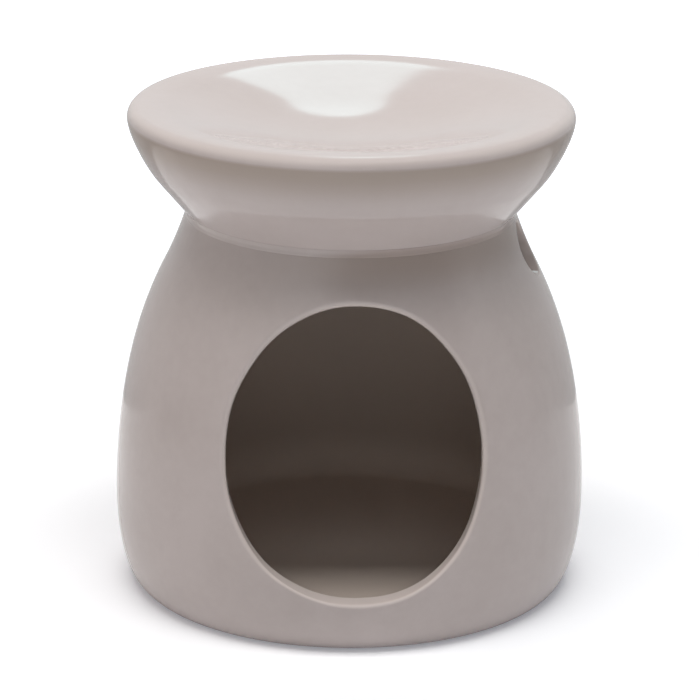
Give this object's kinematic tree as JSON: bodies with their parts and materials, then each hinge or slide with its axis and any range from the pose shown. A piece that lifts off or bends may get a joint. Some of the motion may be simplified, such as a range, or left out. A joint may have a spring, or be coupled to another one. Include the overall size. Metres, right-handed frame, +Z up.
{
  "type": "essential oil burner",
  "caption": "Glazed earthenware oil burner: a bell-shaped candle body with an oval opening and round vents under its neck, and a hollow oil dish joined on top with slip.",
  "frame": {"origin": "on the ground, under the middle of the foot ring", "axes": "+Z up along the axis of the bell and the dish, -Y out through the middle of the oval opening, +X to the right of someone who faces the opening"},
  "size_m": [0.0964, 0.0957, 0.1],
  "materials": {
    "body_glaze": "gloss, pale taupe glaze over slip-cast earthenware, bare foot ring",
    "joint_glaze": "gloss, the same glaze pooled over the joining slip",
    "dish_glaze": "gloss, pale taupe glaze over slip-cast earthenware"
  },
  "bodies": {
    "root": {"burner_body": "body_glaze", "slip_joint": "joint_glaze", "oil_dish": "dish_glaze"}
  },
  "joints": []
}
